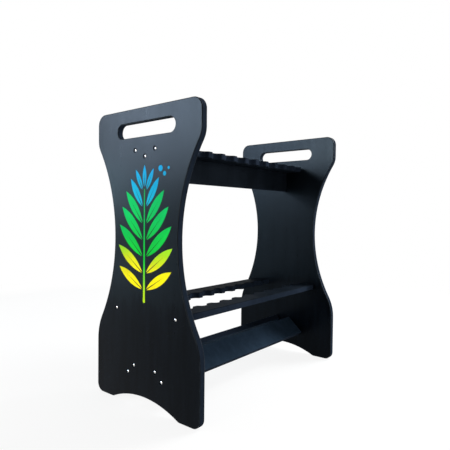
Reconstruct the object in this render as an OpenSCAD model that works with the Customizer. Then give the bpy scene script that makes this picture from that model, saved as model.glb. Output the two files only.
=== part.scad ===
// Free-standing storage rack, cut from sheets of black plastic board.
// Two waisted side panels carry a notched top shelf on a spine, two notched
// rails at mid height and two boards that slope away from a gap at the base.
// X runs along the rack, Y across it, and Z is up from the floor.

/* [Rack] */
// Length over the outer faces of the two side panels
rack_l = 730; // [500:1:1000]
// Thickness of the sheet that the side panels are cut from
panel_t = 19; // [15:0.5:25]
// Thickness of the sheet that the shelf, spine, rails and base boards are cut from
board_t = 19; // [15:0.5:25]

/* [Side panels] */
// Height of a side panel
panel_h = 813; // [780:1:900]
// Width of a side panel at its shoulders and feet
panel_w = 410; // [380:1:440]
// Width of a side panel at its waist
waist_w = 251; // [230:1:280]
// Height of the waist above the floor
waist_z = 460; // [430:1:490]
// Radius of the curve that draws the waist in
waist_r = 475; // [440:1:560]
// Radius where the waist curve meets the straight side below the top
shoulder_r = 60; // [30:1:90]
// Radius where the waist curve meets the straight side above the foot
hip_r = 150; // [80:1:170]
// Radius of the two top corners
top_corner_r = 30; // [20:1:50]
// Radius of the outer corner of each foot
foot_corner_r = 24; // [10:1:32]

/* [Foot arch] */
// Width of the arch between the two feet, at the floor
arch_w = 264; // [200:1:290]
// Height of the arch at its middle
arch_h = 30; // [20:1:40]
// Radius of the lip where the arch runs out to the floor
arch_lip_r = 16; // [6:1:24]

/* [Carry slot] */
// Length of the hand slot near the top of each side panel
slot_w = 229; // [150:1:260]
// Height of the hand slot, whose ends are half round
slot_h = 40; // [30:1:46]
// Drop from the top of a side panel to the middle of its hand slot
slot_drop = 58; // [48:1:66]

/* [Top shelf and spine] */
// Drop from the top of the side panels to the underside of the top shelf
shelf_drop = 123; // [115:1:143]
// Width of the top shelf over its teeth
shelf_w = 142; // [124:1:160]
// Height of the spine that stands under the shelf
spine_h = 72; // [50:1:100]

/* [Mid rails] */
// Height of the underside of the two rails
rail_z = 249.5; // [220:0.5:280]
// Gap between the two rails over their teeth
rail_gap = 134; // [120:1:150]
// Width of a rail, from its teeth to its plain edge
rail_w = 64; // [50:1:76]

/* [Base boards] */
// Slope of a base board
base_slope = 42; // [35:1:48]
// Width of a base board down its slope
base_w = 75; // [60:1:90]
// Gap between the upper edges of the two base boards
base_gap = 56; // [40:1:70]
// Height of the upper edges of the base boards
base_ridge_z = 132.5; // [120:0.5:160]

/* [Notches] */
// Distance from one notch to the next
notch_pitch = 59; // [56:0.5:70]
// Width of a notch at its mouth
notch_w = 38; // [30:0.5:40]
// Depth of a notch
notch_d = 15; // [10:0.5:18]
// Radius of the rounded corners of the teeth between notches
tooth_r = 7; // [3:0.5:7]

/* [Screws] */
// Diameter of a screw's head
head_d = 8.6; // [8:0.1:11]
// Height of a screw's head
head_h = 2.8; // [2:0.1:4]
// Diameter of a screw's shank
shank_d = 4.8; // [3.5:0.1:6]
// Length of a side screw under its head
side_screw_l = 65; // [40:1:80]
// Length of a shelf screw under its head
shelf_screw_l = 50; // [35:1:65]
// Length of a screw's point
point_l = 6; // [3:0.5:9]
// Diameter of the counterbore that a head sits in
counterbore_d = 13; // [11:0.1:16]
// Depth of the counterbore
counterbore_h = 3.2; // [3:0.1:7]
// Gap round a shank where it passes through a board
through_clearance = 0.3; // [0.1:0.05:0.6]
// Gap round a shank where it is screwed home
pilot_clearance = 0.05; // [0.02:0.01:0.1]
// Depth that a pilot hole runs past the screw's point
pilot_spare = 2; // [1:0.5:5]
// Depth of the cross recess in a head
recess_h = 1.4; // [0.8:0.1:1.8]
// Width of an arm of the cross recess
recess_w = 1.1; // [0.8:0.1:1.6]
// Length of an arm of the cross recess, tip to tip
recess_l = 5; // [3:0.1:6]

/* [Screw places] */
// Distance of the shelf's two end screws from the middle of the shelf
shelf_screw_y = 39.5; // [25:0.5:46]
// Distance of the spine's end screw below the underside of the shelf
spine_screw_drop = 8.5; // [8:0.5:14]
// Distance of a rail's end screw from its plain edge
rail_screw_in = 13; // [10:0.5:18]
// Distance of a base board's upper end screw from its upper edge
base_screw_in = 27; // [18:0.5:30]
// Distance between a base board's two end screws
base_screw_pitch = 33.5; // [24:0.5:40]
// Depth of the middle of those two screws below the board's outer face
base_screw_deep = 8; // [7:0.5:10]
// Distance between the screws that hold the shelf down on the spine
shelf_screw_pitch = 140; // [90:1:200]
// Distance of those screws from the points of the spine's end screws, at least
shelf_screw_spare = 10; // [6:1:30]

/* [Leaf emblem] */
// Drop from the underside of the top shelf to the top of the emblem
emblem_drop = 32; // [28:1:48]
// Height of the emblem, from the foot of its stem to the tip of its top leaf
emblem_h = 370; // [300:1:380]
// Depth of the pockets that the emblem's inlays lie in
inlay_t = 0.8; // [0.5:0.1:2]
// Gap round each inlay in its pocket
inlay_clearance = 0.1; // [0.05:0.01:0.2]
// Number of pairs of leaves
leaf_pairs = 7; // [5:1:8]
// Number of pairs in blue, counted down from the top
blue_pairs = 2; // [1:1:2]
// Height of the lowest pair of leaves above the foot of the stem
leaf_start = 35; // [20:1:50]
// Drop from the tip of the stem to the highest pair of leaves
leaf_stop = 4; // [2:1:12]
// Length of the longest leaves
leaf_l = 128; // [90:1:130]
// How much shorter each pair is, for each step away from the longest, squared
leaf_l_step = 4; // [2:0.1:4]
// Width of a leaf as a share of its length
leaf_share = 0.24; // [0.14:0.01:0.25]
// Angle of the lowest pair of leaves above the level
leaf_angle = 30; // [25:1:40]
// How much steeper each next pair stands
leaf_angle_step = 5.5; // [4:0.1:6]
// Width of the slit along the middle of a leaf, at its foot
vein_w = 3.2; // [1.5:0.1:4]
// Width of the stem at its foot
stem_w = 8; // [5:0.5:10]
// Width of the stem at its tip
stem_tip_w = 3; // [2:0.5:5]
// Bare gap between the stem and each leaf
stem_gap = 2.5; // [1.5:0.5:4]
// Radius of the largest of the three round dots
dot_r = 8; // [5:0.5:9]
// How much smaller each next dot is
dot_r_step = 2; // [0:0.5:2]
// Distance of the largest dot from the stem
dot_out = 62; // [55:1:70]
// Distance from each dot to the next, outwards
dot_pitch = 15; // [13:1:18]
// Drop from the top of the emblem to the dots
dot_drop = 12; // [9:1:20]
// How much lower the middle dot lies
dot_dip = 14; // [0:1:20]

/* [Hidden] */

board_colour = "#2b323b";
steel_colour = "#c9ccd0";
blue_colour = "#22b4e6";
green_colour = "#12d24e";
yellow_colour = "#fff21e";

$fn = 64;
fn_large = 360;   // circles that shape a whole edge
over = 1;         // how far a cut runs past the face that it starts from
arc_lap = 0.003;  // how far two arcs that blend into each other overlap, so that they meet at a point

inner_l = rack_l - 2 * panel_t;
panel_hw = panel_w / 2;
slot_z = panel_h - slot_drop;
shelf_hw = shelf_w / 2;
shelf_z = panel_h - shelf_drop;
shelf_mid_z = shelf_z + board_t / 2;
rail_mid_z = rail_z + board_t / 2;
rail_screw_y = rail_gap / 2 + rail_w - rail_screw_in;
spine_screw_z = shelf_z - spine_screw_drop;

// Centre of the circle that draws in the waist on the +Y side
waist_c = [waist_w / 2 + waist_r, waist_z];
// Height of the arch circle's centre, and its radius
arch_r = (pow(arch_w / 2, 2) + pow(arch_h, 2)) / (2 * arch_h);
arch_c = [0, arch_h - arch_r];

// Radius of a notch, and how far its centre lies outside the edge it is cut in
notch_r = (pow(notch_w / 2, 2) + pow(notch_d, 2)) / (2 * notch_d);
notch_out = notch_r - notch_d;
notch_count = floor((inner_l - notch_w) / notch_pitch) + 1;

side_pilot_l = side_screw_l - (panel_t - counterbore_h) + pilot_spare;
shelf_pilot_l = shelf_screw_l - (board_t - counterbore_h) + pilot_spare;
shelf_screw_run = inner_l - 2 * (side_pilot_l + shelf_screw_spare);
shelf_screw_count = floor(shelf_screw_run / shelf_screw_pitch) + 1;

// Height of the emblem's middle
emblem_z = shelf_z - emblem_drop - emblem_h / 2;
// Ends of the emblem's stem, and where its leaves leave it
stem_foot = -emblem_h / 2;
top_leaf_l = emblem_h / 6;
stem_tip = emblem_h / 2 - top_leaf_l - stem_gap;
first_leaf = stem_foot + leaf_start;
leaf_step = (stem_tip - leaf_stop - first_leaf) / (leaf_pairs - 1);
longest_pair = 2;
vein_end = 0.72;   // share of a leaf's length that its slit runs

function unit(v) = v / norm(v);
function leaf_len(i) = leaf_l - leaf_l_step * pow(i - longest_pair, 2);
function leaf_turn(i) = leaf_angle + leaf_angle_step * i;
// Places of n things at an even pitch, centred on zero
function row(n, pitch) = [for (i = [0 : n - 1]) (i - (n - 1) / 2) * pitch];
// A point of the front base board's section: s down its upper face, d into it
function base_at(s, d) = [
    -base_gap / 2 - s * cos(base_slope) + d * sin(base_slope),
    base_ridge_z - s * sin(base_slope) - d * cos(base_slope)
];
// Places of the end screws, as [y, z]
shelf_end_places = [[-shelf_screw_y, shelf_mid_z], [shelf_screw_y, shelf_mid_z]];
spine_end_places = [[0, spine_screw_z]];
rail_end_places = [[-rail_screw_y, rail_mid_z], [rail_screw_y, rail_mid_z]];
front_base_places = [for (s = [base_screw_in, base_screw_in + base_screw_pitch])
    base_at(s, base_screw_deep)];
base_end_places = concat(front_base_places, [for (p = front_base_places) [-p[0], p[1]]]);
all_end_places = concat(shelf_end_places, spine_end_places, rail_end_places, base_end_places);

// What comes off outside a circle about c, so that a corner is rounded.
// a and b are where the circle touches the two edges, and k is the corner.
module round_off(c, r, a, k, b) {
    difference() {
        polygon([c, a + over * unit(a - c), k + over * unit(k - c), b + over * unit(b - c)]);
        translate(c) circle(r, $fn = r > 50 ? fn_large : $fn);
    }
}

// Rounds the corner at k between an edge along Y and an edge along X
module round_square_corner(k, r, sx, sy) {
    c = [k[0] - sx * r, k[1] - sy * r];
    round_off(c, r, [k[0], c[1]], k, [c[0], k[1]]);
}

// Rounds the corner between a straight side at +panel_hw and the waist,
// above the waist when up is 1 and below it when up is -1
module round_waist_end(r, up) {
    c_x = panel_hw - r;
    c = [c_x, waist_z + up * sqrt(pow(waist_r + r - arc_lap, 2) - pow(waist_c[0] - c_x, 2))];
    corner_z = waist_z + up * sqrt(pow(waist_r, 2) - pow(waist_c[0] - panel_hw, 2));
    round_off(c, r, [panel_hw, c[1]], [panel_hw, corner_z], c + r * unit(waist_c - c));
}

// Rounds the lip where the arch on the +Y side meets the floor
module round_arch_lip(r) {
    c = [sqrt(pow(arch_r + r - arc_lap, 2) - pow(r - arch_c[1], 2)), r];
    round_off(c, r, [c[0], 0], [arch_w / 2, 0], c + r * unit(arch_c - c));
}

// Outline of a side panel, drawn with Y to the right and Z up
module panel_outline() {
    difference() {
        translate([-panel_hw, 0]) square([panel_w, panel_h]);
        for (side = [0, 1]) mirror([side, 0]) {
            translate(waist_c) circle(waist_r, $fn = fn_large);
            round_waist_end(shoulder_r, 1);
            round_waist_end(hip_r, -1);
            round_square_corner([panel_hw, panel_h], top_corner_r, 1, 1);
            round_square_corner([panel_hw, 0], foot_corner_r, 1, -1);
            round_arch_lip(arch_lip_r);
        }
        translate(arch_c) circle(arch_r, $fn = fn_large);
        hand_slot();
    }
}

module hand_slot() {
    run = slot_w - slot_h;
    translate([-run / 2, slot_z - slot_h / 2]) square([run, slot_h]);
    for (side = [-1, 1])
        translate([side * run / 2, slot_z]) circle(d = slot_h);
}

// Stands a drawing of Y and Z up and makes it t thick, from x towards +X
module along_x(x, t) {
    translate([x, 0, 0]) rotate([90, 0, 90]) linear_extrude(t) children();
}

// A cylinder of diameter d and length l from x towards +X, at place [y, z]
module bore_x(x, l, d, place) {
    translate([x, place[0], place[1]]) rotate([0, 90, 0]) cylinder(h = l, d = d);
}

// The left panel, with its outer face at -X; the right one is its mirror image
module side_panel() {
    outer = -rack_l / 2;
    difference() {
        along_x(outer, panel_t) panel_outline();
        for (place = all_end_places) {
            bore_x(outer - over, over + counterbore_h, counterbore_d, place);
            bore_x(outer, panel_t + over, shank_d + 2 * through_clearance, place);
        }
    }
}

module left_side_panel() {
    color(board_colour) difference() {
        side_panel();
        along_x(-rack_l / 2 - over, over + inlay_t)
            translate([0, emblem_z]) {
                blue_drawing(inlay_clearance);
                green_drawing(inlay_clearance);
                yellow_drawing(inlay_clearance);
            }
    }
}

module right_side_panel() {
    color(board_colour) mirror([1, 0, 0]) side_panel();
}

// One rounded notch with rounded lips, cut into an edge along X.
// The board lies on the -Y side of the edge.
module notch(x, edge_y) {
    c = [x, edge_y + notch_out];
    lip_x = sqrt(pow(notch_r + tooth_r - arc_lap, 2) - pow(notch_out + tooth_r, 2));
    translate(c) circle(notch_r);
    for (side = [-1, 1]) {
        lip_c = [x + side * lip_x, edge_y - tooth_r];
        round_off(lip_c, tooth_r, [lip_c[0], edge_y], [x + side * notch_w / 2, edge_y],
                  lip_c + tooth_r * unit(c - lip_c));
    }
}

// Pilot holes for the end screws, in both ends of a board
module end_pilots(places) {
    for (side = [0, 1], place = places)
        mirror([side, 0, 0])
            bore_x(-inner_l / 2 - over, over + side_pilot_l, shank_d + 2 * pilot_clearance, place);
}

module notched_top_shelf() {
    color(board_colour) difference() {
        translate([0, 0, shelf_z]) linear_extrude(board_t) difference() {
            square([inner_l, shelf_w], center = true);
            for (side = [0, 1], x = row(notch_count, notch_pitch))
                mirror([0, side]) notch(x, shelf_hw);
        }
        end_pilots(shelf_end_places);
        for (x = row(shelf_screw_count, shelf_screw_pitch)) translate([x, 0, shelf_z]) {
            translate([0, 0, -over])
                cylinder(h = board_t + over, d = shank_d + 2 * through_clearance);
            translate([0, 0, board_t - counterbore_h])
                cylinder(h = counterbore_h + over, d = counterbore_d);
        }
    }
}

module centre_spine() {
    color(board_colour) difference() {
        translate([-inner_l / 2, -board_t / 2, shelf_z - spine_h])
            cube([inner_l, board_t, spine_h]);
        end_pilots(spine_end_places);
        for (x = row(shelf_screw_count, shelf_screw_pitch))
            translate([x, 0, shelf_z - shelf_pilot_l])
                cylinder(h = shelf_pilot_l + over, d = shank_d + 2 * pilot_clearance);
    }
}

// The front rail, on the -Y side, with its teeth towards the middle of the rack
module mid_rail() {
    difference() {
        translate([0, 0, rail_z]) linear_extrude(board_t) difference() {
            translate([-inner_l / 2, -rail_gap / 2 - rail_w]) square([inner_l, rail_w]);
            for (x = row(notch_count, notch_pitch)) notch(x, -rail_gap / 2);
        }
        end_pilots([rail_end_places[0]]);
    }
}

module front_mid_rail() {
    color(board_colour) mid_rail();
}

module rear_mid_rail() {
    color(board_colour) mirror([0, 1, 0]) mid_rail();
}

// The front base board, which slopes down towards -Y
module base_board() {
    difference() {
        along_x(-inner_l / 2, inner_l)
            translate([-base_gap / 2, base_ridge_z])
                rotate(180 + base_slope) square([base_w, board_t]);
        end_pilots(front_base_places);
    }
}

module front_base_board() {
    color(board_colour) base_board();
}

module rear_base_board() {
    color(board_colour) mirror([0, 1, 0]) base_board();
}

// A pan-head wood screw: the underside of the head is at zero, its point down -Z
module screw(l) {
    dome_r = (pow(head_d / 2, 2) + pow(head_h, 2)) / (2 * head_h);
    color(steel_colour) difference() {
        union() {
            rotate_extrude() intersection() {
                square([head_d / 2, head_h]);
                translate([0, head_h - dome_r]) circle(dome_r, $fn = fn_large);
            }
            translate([0, 0, -(l - point_l)]) cylinder(h = l - point_l, d = shank_d);
            translate([0, 0, -l]) cylinder(h = point_l, d1 = shank_d / 6, d2 = shank_d);
        }
        for (turn = [0, 90]) rotate(turn)
            translate([-recess_l / 2, -recess_w / 2, head_h - recess_h])
                cube([recess_l, recess_w, recess_h + over]);
    }
}

// Screws through a side panel, seated in its counterbores
module side_screws(places, side) {
    mirror([side, 0, 0])
        for (place = places)
            translate([-rack_l / 2 + counterbore_h, place[0], place[1]])
                rotate([0, -90, 0]) screw(side_screw_l);
}

module left_shelf_screws() { side_screws(shelf_end_places, 0); }
module right_shelf_screws() { side_screws(shelf_end_places, 1); }
module left_spine_screw() { side_screws(spine_end_places, 0); }
module right_spine_screw() { side_screws(spine_end_places, 1); }
module left_rail_screws() { side_screws(rail_end_places, 0); }
module right_rail_screws() { side_screws(rail_end_places, 1); }
module left_base_screws() { side_screws(base_end_places, 0); }
module right_base_screws() { side_screws(base_end_places, 1); }

module shelf_to_spine_screws() {
    for (x = row(shelf_screw_count, shelf_screw_pitch))
        translate([x, 0, shelf_z + board_t - counterbore_h]) screw(shelf_screw_l);
}

// A pointed leaf of length l along +X, with a slit up from its foot.
// grow widens it all round, for the pocket that it lies in.
module leaf(l, grow) {
    w = leaf_share * l;
    r = (pow(l, 2) + pow(w, 2)) / (4 * w);
    slit = vein_w / 2 - grow;
    difference() {
        intersection() {
            translate([l / 2, r - w / 2]) circle(r + grow, $fn = fn_large);
            translate([l / 2, w / 2 - r]) circle(r + grow, $fn = fn_large);
        }
        polygon([[-over, slit], [-over, -slit], [vein_end * l - grow, 0]]);
    }
}

// The pairs of leaves from one number to another, counted up from the foot
module leaf_rows(from, to, grow) {
    for (i = [from : to], side = [0, 1]) mirror([side, 0])
        translate([stem_w / 2 + stem_gap, first_leaf + leaf_step * i])
            rotate(leaf_turn(i)) leaf(leaf_len(i), grow);
}

module yellow_drawing(grow = 0) {
    leaf_rows(0, longest_pair - 1, grow);
}

module green_drawing(grow = 0) {
    leaf_rows(longest_pair, leaf_pairs - blue_pairs - 1, grow);
    foot_hw = stem_w / 2 + grow;
    tip_hw = stem_tip_w / 2 + grow;
    polygon([[-foot_hw, stem_foot - grow], [foot_hw, stem_foot - grow],
             [tip_hw, stem_tip + grow], [-tip_hw, stem_tip + grow]]);
}

module blue_drawing(grow = 0) {
    leaf_rows(leaf_pairs - blue_pairs, leaf_pairs - 1, grow);
    translate([0, stem_tip + stem_gap]) rotate(90) leaf(top_leaf_l, grow);
    for (k = [0 : 2])
        translate([-dot_out - dot_pitch * k, emblem_h / 2 - dot_drop - dot_dip * (k % 2)])
            circle(dot_r - dot_r_step * k + grow);
}

// Inlays lie flush with the outer face of the left panel
module inlays() {
    along_x(-rack_l / 2, inlay_t) translate([0, emblem_z]) children();
}

module emblem_blue_inlays() {
    color(blue_colour) inlays() blue_drawing();
}

module emblem_green_inlays() {
    color(green_colour) inlays() green_drawing();
}

module emblem_yellow_inlays() {
    color(yellow_colour) inlays() yellow_drawing();
}

left_side_panel();
right_side_panel();
notched_top_shelf();
centre_spine();
front_mid_rail();
rear_mid_rail();
front_base_board();
rear_base_board();
left_shelf_screws();
right_shelf_screws();
left_spine_screw();
right_spine_screw();
left_rail_screws();
right_rail_screws();
left_base_screws();
right_base_screws();
shelf_to_spine_screws();
emblem_blue_inlays();
emblem_green_inlays();
emblem_yellow_inlays();
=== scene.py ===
# Looks of a free-standing rack of black plastic boards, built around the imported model.
# Lengths are in metres. X runs along the rack, Y across it, and Z is up from the floor.
import math

import bmesh
import bpy
from mathutils import Matrix, Vector


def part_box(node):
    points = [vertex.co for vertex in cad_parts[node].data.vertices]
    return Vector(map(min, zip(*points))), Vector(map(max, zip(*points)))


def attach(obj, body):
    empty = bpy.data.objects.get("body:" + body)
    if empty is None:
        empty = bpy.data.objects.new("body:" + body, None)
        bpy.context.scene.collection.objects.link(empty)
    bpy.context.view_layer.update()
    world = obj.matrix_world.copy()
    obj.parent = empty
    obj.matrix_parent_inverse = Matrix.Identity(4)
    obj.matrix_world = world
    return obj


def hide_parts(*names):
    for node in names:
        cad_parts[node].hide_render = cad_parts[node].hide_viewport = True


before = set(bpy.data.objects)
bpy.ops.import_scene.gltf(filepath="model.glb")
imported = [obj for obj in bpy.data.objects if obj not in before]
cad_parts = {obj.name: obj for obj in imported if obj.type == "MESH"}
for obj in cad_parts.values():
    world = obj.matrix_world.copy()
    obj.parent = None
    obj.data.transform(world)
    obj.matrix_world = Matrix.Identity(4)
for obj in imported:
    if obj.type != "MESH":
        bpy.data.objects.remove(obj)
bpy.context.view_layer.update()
print("frame loaded:", len(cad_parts), "nodes")


def addObject(name, data):
    made = bpy.data.objects.new(name, data)
    bpy.context.scene.collection.objects.link(made)
    return made


# The camera, at the photograph's viewing angle

view = {
    "place": (-1.1687, -0.9271, 0.5306),
    "turn": 38.92,       # degrees from +X towards +Y
    "tilt": -1.477,      # degrees up
    "roll": 0.580,       # degrees, clockwise as the picture is seen
    "lens": 36.055,
    "sensor": 36.0,
    "nearest": 0.01,     # nothing nearer than this is drawn
}


def placeCamera():
    turn, tilt, roll = (math.radians(view[part]) for part in ("turn", "tilt", "roll"))
    ahead = Vector((math.cos(turn) * math.cos(tilt), math.sin(turn) * math.cos(tilt), math.sin(tilt)))
    level = ahead.cross(Vector((0, 0, 1))).normalized()
    upright = level.cross(ahead)
    right = level * math.cos(roll) + upright * math.sin(roll)
    up = upright * math.cos(roll) - level * math.sin(roll)
    lensData = bpy.data.cameras.new("viewCamera")
    lensData.lens = view["lens"]
    lensData.sensor_width = view["sensor"]
    lensData.sensor_fit = "HORIZONTAL"
    lensData.clip_start = view["nearest"]
    holder = addObject("viewCamera", lensData)
    holder.matrix_world = Matrix((
        (right.x, up.x, -ahead.x, view["place"][0]),
        (right.y, up.y, -ahead.y, view["place"][1]),
        (right.z, up.z, -ahead.z, view["place"][2]),
        (0, 0, 0, 1),
    ))
    bpy.context.scene.camera = holder


placeCamera()


# Shader helpers and the effects that the materials share

def wire(tree, value, socket):
    # a plain value is set on the socket, and another node's output is linked to it
    if isinstance(value, bpy.types.NodeSocket):
        tree.links.new(value, socket)
    else:
        socket.default_value = value


def feed(tree, node, **inputs):
    # an underscore in an input's name stands for a space in its label
    for label, value in inputs.items():
        wire(tree, value, node.inputs[label.replace("_", " ")])


def addNode(tree, kind, settings=None, **inputs):
    node = tree.nodes.new(kind)
    for key, value in (settings or {}).items():
        setattr(node, key, value)
    feed(tree, node, **inputs)
    return node


def calculator(tree):
    # calc("ADD", a, b) puts a Math node in the tree and gives back its output
    def calc(operation, *terms):
        node = addNode(tree, "ShaderNodeMath", {"operation": operation})
        for socket, term in zip(node.inputs, terms):
            wire(tree, term, socket)
        return node.outputs[0]
    return calc


def combine(tree, **parts):
    return addNode(tree, "ShaderNodeCombineXYZ", **parts).outputs[0]


def partsOf(tree, vector):
    return addNode(tree, "ShaderNodeSeparateXYZ", Vector=vector).outputs


def fadeBetween(tree, value, low, high):
    # 0 below low, 1 above high, smooth between them
    ramp = addNode(tree, "ShaderNodeMapRange", {"interpolation_type": "SMOOTHSTEP"}, Value=value,
                   From_Min=low, From_Max=high)
    return ramp.outputs["Result"]


def mixColours(tree, factor, first, second):
    # a Mix node has a set of sockets for each kind of value, so those for colours go by number
    node = addNode(tree, "ShaderNodeMix", {"data_type": "RGBA"})
    for number, value in ((0, factor), (6, first), (7, second)):
        wire(tree, value, node.inputs[number])
    return node.outputs[2]


def shaderGroup(name, vectors, values, results):
    # vectors and values are the labels of the group's inputs, and results those of its outputs
    group = bpy.data.node_groups.new(name, "ShaderNodeTree")
    sockets = [(label, "INPUT", "NodeSocketVector") for label in vectors]
    sockets += [(label, "INPUT", "NodeSocketFloat") for label in values]
    sockets += [(label, "OUTPUT", "NodeSocketFloat") for label in results]
    for label, direction, kind in sockets:
        group.interface.new_socket(name=label, in_out=direction, socket_type=kind)
    given = group.nodes.new("NodeGroupInput").outputs
    return group, calculator(group), given, group.nodes.new("NodeGroupOutput").inputs


def noise(tree, vector, scale, detail=2.0, roughness=0.5, stretch=None):
    if stretch is not None:
        vector = addNode(tree, "ShaderNodeMapping", Vector=vector, Scale=stretch).outputs["Vector"]
    node = addNode(tree, "ShaderNodeTexNoise", Vector=vector, Scale=scale, Detail=detail,
                   Roughness=roughness)
    return node.outputs["Fac"]


surface = {
    # a fade is the value at which it starts and the one at which it is full; a noise is its scale,
    # detail, roughness and, where it has one, stretch
    "pebbleSmoothness": 0.6,
    "pebbleHeight": 0.6,             # against the ripple that runs through the pebbles
    "rippleFineness": 0.35,          # against that of the pebbles
    "rippleDetail": 3.0,
    "cloudNoise": (7.0, 4.0, 0.6),
    "streakNoise": (1.0, 3.0, 0.55, (55.0, 55.0, 3.5)),
    "wearNoise": (26.0, 4.0, 0.65),
    "wearFade": (0.38, 0.66),
    "wearLeast": 0.35,               # wear between the patches, as a share of that in them
    "scratchWays": (((0.5, 0.35, 0.2), 3.0), ((-0.7, 0.6, -0.4), 11.0)),      # turn and shift
    "scratchNoise": (1.0, 1.0, 0.4, (420.0, 9.0, 420.0)),
    "scratchFade": (0.73, 0.78),
    "sparseNoise": (5.0, 2.0),
    "sparseFade": (0.48, 0.62),
    "dustFacing": (0.35, 0.95),
    "dustNoise": (18.0, 5.0, 0.7),
    "dustFade": (0.36, 0.74),
}


def makeSheetGrain():
    # the fine pebbled face of moulded sheet, and slow clouds and upright streaks in it
    group, calc, given, result = shaderGroup("sheetGrain", ["Vector"], ["Grain Size"],
                                             ["Height", "Cloud", "Streak"])
    fineness = calc("DIVIDE", 1.0, given["Grain Size"])
    pebbles = addNode(group, "ShaderNodeTexVoronoi", {"feature": "SMOOTH_F1"}, Vector=given["Vector"],
                      Scale=fineness, Smoothness=surface["pebbleSmoothness"])
    ripple = noise(group, given["Vector"], calc("MULTIPLY", fineness, surface["rippleFineness"]),
                   surface["rippleDetail"])
    raised = calc("MULTIPLY", pebbles.outputs["Distance"], surface["pebbleHeight"])
    wire(group, calc("ADD", raised, ripple), result["Height"])
    wire(group, noise(group, given["Vector"], *surface["cloudNoise"]), result["Cloud"])
    wire(group, noise(group, given["Vector"], *surface["streakNoise"]), result["Streak"])
    return group


def makeRimWear():
    # edges rubbed smooth and a little paler, in patches
    group, calc, given, result = shaderGroup("rimWear", ["Vector"], ["Rim", "Amount"], ["Mask"])
    patches = fadeBetween(group, noise(group, given["Vector"], *surface["wearNoise"]), *surface["wearFade"])
    share = calc("ADD", calc("MULTIPLY", patches, 1 - surface["wearLeast"]), surface["wearLeast"])
    worn = calc("MULTIPLY", given["Rim"], share)
    wire(group, calc("MULTIPLY", worn, given["Amount"]), result["Mask"])
    return group


def makeScuffs():
    # short fine scratches in two directions, thinned out by a slow pattern
    group, calc, given, result = shaderGroup("scuffs", ["Vector"], ["Amount"], ["Mask"])
    lines = []
    for turn, shift in surface["scratchWays"]:
        mapping = addNode(group, "ShaderNodeMapping", Vector=given["Vector"], Rotation=turn,
                          Location=(shift, shift, shift))
        field = noise(group, mapping.outputs["Vector"], *surface["scratchNoise"])
        lines.append(fadeBetween(group, field, *surface["scratchFade"]))
    slow = noise(group, given["Vector"], *surface["sparseNoise"])
    sparse = fadeBetween(group, slow, *surface["sparseFade"])
    both = calc("MULTIPLY", calc("MAXIMUM", lines[0], lines[1]), sparse)
    wire(group, calc("MULTIPLY", both, given["Amount"]), result["Mask"])
    return group


def makeCutterMarks():
    # fine lines that a router leaves on a cut edge; Run is the fineness each way, small along the lines
    group, calc, given, result = shaderGroup("cutterMarks", ["Vector", "Run"], ["Edge"], ["Height"])
    fine = noise(group, given["Vector"], 1.0, stretch=given["Run"])
    wire(group, calc("MULTIPLY", fine, given["Edge"]), result["Height"])
    return group


def makeDust():
    # dust in patches on faces that look up; Up is the upward part of the face's normal
    group, calc, given, result = shaderGroup("settledDust", ["Vector"], ["Up"], ["Mask"])
    level = fadeBetween(group, given["Up"], *surface["dustFacing"])
    patches = fadeBetween(group, noise(group, given["Vector"], *surface["dustNoise"]), *surface["dustFade"])
    wire(group, calc("MULTIPLY", level, patches), result["Mask"])
    return group


sheetGrain = makeSheetGrain()
rimWear = makeRimWear()
scuffs = makeScuffs()
cutterMarks = makeCutterMarks()
settledDust = makeDust()


def useGroup(tree, group, **inputs):
    return addNode(tree, "ShaderNodeGroup", {"node_tree": group}, **inputs).outputs


def newMaterial(name):
    material = bpy.data.materials.new(name)
    material.use_nodes = True
    tree = material.node_tree
    shader = tree.nodes["Principled BSDF"]
    vector = tree.nodes.new("ShaderNodeTexCoord").outputs["Object"]
    return material, tree, calculator(tree), shader, vector


def faceMark(tree, label):
    return addNode(tree, "ShaderNodeAttribute", {"attribute_name": label}).outputs["Fac"]


def addBump(tree, shader, height, strength, distance):
    bump = addNode(tree, "ShaderNodeBump", Height=height, Strength=strength, Distance=distance)
    feed(tree, shader, Normal=bump.outputs["Normal"])


boardFinish = {
    "worn": (0.0180, 0.0235, 0.0310, 1),
    "dust": (0.0300, 0.0370, 0.0460, 1),
    "dustShare": 0.04,
    "cloudShare": 0.7,           # part of the clouds in the change of colour; the rest is the streaks'
    "cloudFade": (0.34, 0.66),
    "scuffs": 0.5,
    "scuffShare": 0.6,           # how far a scuff turns to the worn colour
    "scuffDepth": 0.8,           # in grains
    "streakRoughness": 0.12,     # change of roughness from streak to streak
    "mottleNoise": (60.0, 2.0),
    "mottle": 0.05,              # change of roughness in small patches
    "rimRoughness": 0.08,        # how much rougher the eased rims and cut edges are than flat faces
    "polish": 0.10,              # how much smoother a rubbed rim is
    # Specular Tint colours every reflection on the boards blue, standing for bluish skylight: painted
    # reflection colour
    "paintedReflectionTint": (0.72, 0.87, 1.0, 1),
    "grainSize": 0.0014,
    "grainDepth": 0.00010,
    "grainStrength": 0.55,
    "markFineness": 900.0,
    "markStretch": 0.994,        # how much of their fineness the marks lose along their run
    "markDepth": 1.6,            # in grains
}
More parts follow.
